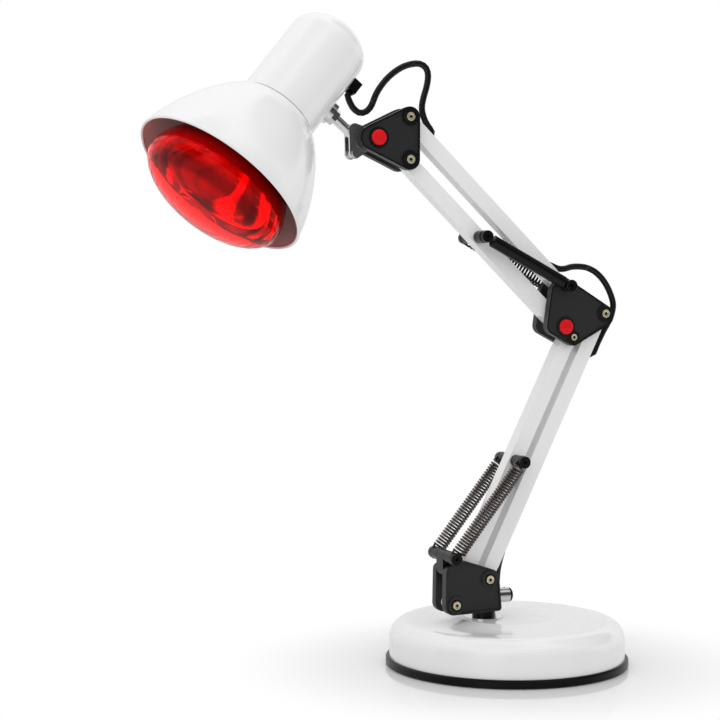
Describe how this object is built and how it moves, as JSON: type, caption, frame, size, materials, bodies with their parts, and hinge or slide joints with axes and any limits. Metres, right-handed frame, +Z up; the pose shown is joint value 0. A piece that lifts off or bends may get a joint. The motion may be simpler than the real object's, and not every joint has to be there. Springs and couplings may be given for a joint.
{
  "type": "infrared heat lamp",
  "caption": "Spring-balanced desk lamp on a round weighted base, with a bell shade and a red infrared reflector bulb.",
  "frame": {"origin": "centre of the round base on the table surface", "axes": "+Z up; X in the arm's plane with the shade towards -X; +Y to the back"},
  "size_m": [0.4817, 0.3097, 0.552],
  "materials": {
    "white_paint": "gloss",
    "black_plastic": "satin",
    "black_rubber": "satin",
    "chrome": "polished",
    "screw_nickel": "polished",
    "spring_steel": "satin",
    "red_plastic": "gloss",
    "red_glass": "gloss",
    "cap_metal": "satin",
    "ceramic": "glazed",
    "iron": "rough",
    "base_cover": "satin"
  },
  "bodies": {
    "base": {"base_ring": "black_rubber", "base_shell": "white_paint", "base_ballast": "iron", "base_plate": "base_cover", "swivel_post": "chrome", "post_washer": "chrome", "cord_floor": "black_rubber", "cord_coil": "black_rubber", "inline_switch": "black_plastic", "plug_body": "black_plastic", "plug_pins": "chrome"},
    "bottom_bracket": {"swivel_foot": "black_plastic", "swivel_block": "black_plastic", "bottom_plate_front": "black_plastic", "bottom_plate_rear": "black_plastic", "bottom_bolts": "screw_nickel", "anchor_lug": "black_plastic", "anchor_pin": "black_plastic", "lower_spring_front": "spring_steel", "lower_spring_rear": "spring_steel", "cord_tail": "black_rubber"},
    "lock": {"lock_barrel": "chrome", "lock_cap": "black_plastic"},
    "lower_right": {"lower_bar_right": "white_paint", "cord_lower_run": "black_rubber"},
    "lower_left": {"lower_bar_left": "white_paint", "lower_posts": "black_plastic"},
    "elbow": {"elbow_plate_front": "black_plastic", "elbow_plate_rear": "black_plastic", "elbow_bolts": "screw_nickel", "elbow_caps": "red_plastic", "spring_pin": "black_plastic", "upper_spring_front": "black_plastic", "upper_spring_rear": "spring_steel", "cord_elbow_a": "black_rubber", "cord_elbow_b": "black_rubber"},
    "upper_right": {"upper_bar_right": "white_paint", "cord_upper_run": "black_rubber"},
    "upper_left": {"upper_bar_left": "white_paint", "upper_posts": "black_plastic"},
    "head_bracket": {"head_plate_front": "black_plastic", "head_plate_rear": "black_plastic", "head_bolts": "screw_nickel", "tilt_pin": "chrome", "tilt_caps": "red_plastic", "cord_head_c": "black_rubber"},
    "yoke": {"yoke_cheeks": "chrome", "clamp_screw": "chrome", "head_rod": "chrome", "cord_head_b": "black_rubber"},
    "head": {"rod_washer": "chrome", "head_housing": "white_paint", "shade_bell": "white_paint", "lampholder": "ceramic", "holder_plate": "chrome", "bulb_glass": "red_glass", "bulb_cap": "cap_metal", "strain_relief": "black_plastic", "cord_head_a": "black_rubber"},
    "rocker": {"switch_rocker": "red_plastic"}
  },
  "joints": [
    {"name": "base_swivel", "type": "hinge", "parent": "base", "child": "bottom_bracket", "pos_m": [-0.022, 0, 0.045], "axis": [0, 0, 1], "range_deg": [-170, 170], "deforming": ["cord_floor"]},
    {"name": "lock_screw", "type": "hinge", "parent": "bottom_bracket", "child": "lock", "pos_m": [0, 0, 0.0595], "axis": [1, 0, 0], "continuous": true},
    {"name": "lower_arm", "type": "hinge", "parent": "bottom_bracket", "child": "lower_right", "pos_m": [-0.0226, 0, 0.076], "axis": [0, 1, 0], "range_deg": [-14, 9], "deforming": ["lower_spring_front", "lower_spring_rear", "cord_tail"]},
    {"name": "lower_link", "type": "hinge", "parent": "bottom_bracket", "child": "lower_left", "pos_m": [-0.05385, 0, 0.0556], "axis": [0, 1, 0], "range_deg": [-14, 9]},
    {"name": "elbow_level", "type": "hinge", "parent": "lower_right", "child": "elbow", "pos_m": [0.08831, 0, 0.3034], "axis": [0, 1, 0], "range_deg": [-9, 14], "deforming": ["cord_elbow_b"]},
    {"name": "upper_arm", "type": "hinge", "parent": "elbow", "child": "upper_right", "pos_m": [0.04951, 0, 0.32749], "axis": [0, 1, 0], "range_deg": [-40, 22], "deforming": ["upper_spring_front", "upper_spring_rear", "cord_elbow_a"]},
    {"name": "upper_link", "type": "hinge", "parent": "elbow", "child": "upper_left", "pos_m": [0.04951, 0, 0.292], "axis": [0, 1, 0], "range_deg": [-40, 22]},
    {"name": "head_level", "type": "hinge", "parent": "upper_right", "child": "head_bracket", "pos_m": [-0.09669, 0, 0.46819], "axis": [0, 1, 0], "range_deg": [-22, 40], "deforming": ["cord_head_c"]},
    {"name": "head_tilt", "type": "hinge", "parent": "head_bracket", "child": "yoke", "pos_m": [-0.12499, 0, 0.45009], "axis": [0, 1, 0], "range_deg": [-40, 40], "deforming": ["cord_head_b"]},
    {"name": "head_swivel", "type": "hinge", "parent": "yoke", "child": "head", "pos_m": [-0.19079, 0, 0.49299], "axis": [0.7593, 0, -0.6508], "range_deg": [-90, 90], "deforming": ["cord_head_a"]},
    {"name": "rocker", "type": "hinge", "parent": "base", "child": "rocker", "pos_m": [0.091, 0.128, 0.0166], "axis": [0, 1, 0], "range_deg": [0, 10]}
  ],
  "couplings": [
    {"joint": "lower_link", "follows": "lower_arm", "ratio": 1},
    {"joint": "elbow_level", "follows": "lower_arm", "ratio": -1},
    {"joint": "upper_link", "follows": "upper_arm", "ratio": 1},
    {"joint": "head_level", "follows": "upper_arm", "ratio": -1}
  ]
}
